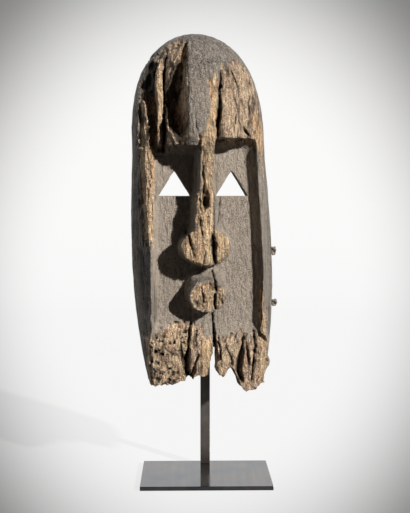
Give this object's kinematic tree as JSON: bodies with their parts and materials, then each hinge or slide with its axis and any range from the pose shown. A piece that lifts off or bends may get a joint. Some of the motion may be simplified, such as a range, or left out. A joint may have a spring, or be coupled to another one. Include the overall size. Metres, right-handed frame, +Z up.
{
  "type": "carved wooden hunter mask on a display stand",
  "caption": "Tall weathered hollow wood mask with domed brow, sunk face, long nose and cone mouth, held on a square steel post with a flat plate foot.",
  "frame": {"origin": "middle of the underside of the stand's plate", "axes": "+Z up, the mask's face looks along -Y, +X to the viewer's right when facing the mask"},
  "size_m": [0.1819, 0.1616, 0.5477],
  "materials": {
    "weathered_wood": "weathered grey brown, eroded ochre where the skin is lost",
    "fibre_cord": "dry plant fibre, grey brown",
    "dark_steel": "dark brown patina under wax, satin"
  },
  "bodies": {
    "root": {"mask": "weathered_wood", "edge_knot_upper": "fibre_cord", "edge_knot_lower": "fibre_cord", "stand_plate": "dark_steel", "stand_post": "dark_steel"}
  },
  "joints": []
}
